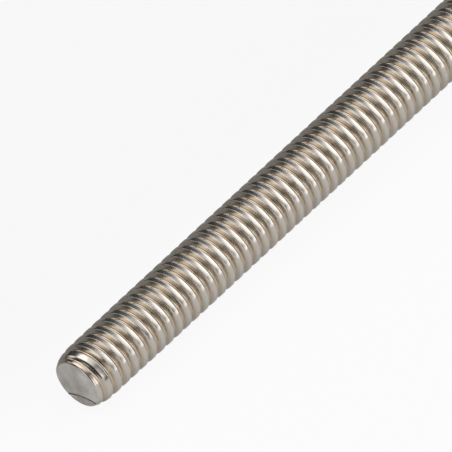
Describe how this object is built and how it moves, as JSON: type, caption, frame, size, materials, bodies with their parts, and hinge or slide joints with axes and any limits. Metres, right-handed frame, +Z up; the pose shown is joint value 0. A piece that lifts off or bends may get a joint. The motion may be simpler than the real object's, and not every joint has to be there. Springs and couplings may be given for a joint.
{
  "type": "pan head machine screw",
  "caption": "Fully threaded stainless steel machine screw with a domed pan head, a cross recess and a blunt tapered point.",
  "frame": {"origin": "on the surface that the screw lies on, under the middle of its length", "axes": "+X along the screw from its point to its head, +Z up, +Y across; the axis rises 2.81 degrees towards the head, because the screw lies on its head's rim and on the thread behind its point"},
  "size_m": [0.0678, 0.0122, 0.0122],
  "materials": {
    "steel": "bright rolled austenitic stainless steel, dull on the sheared end"
  },
  "bodies": {
    "root": {"screw": "steel"}
  },
  "joints": []
}
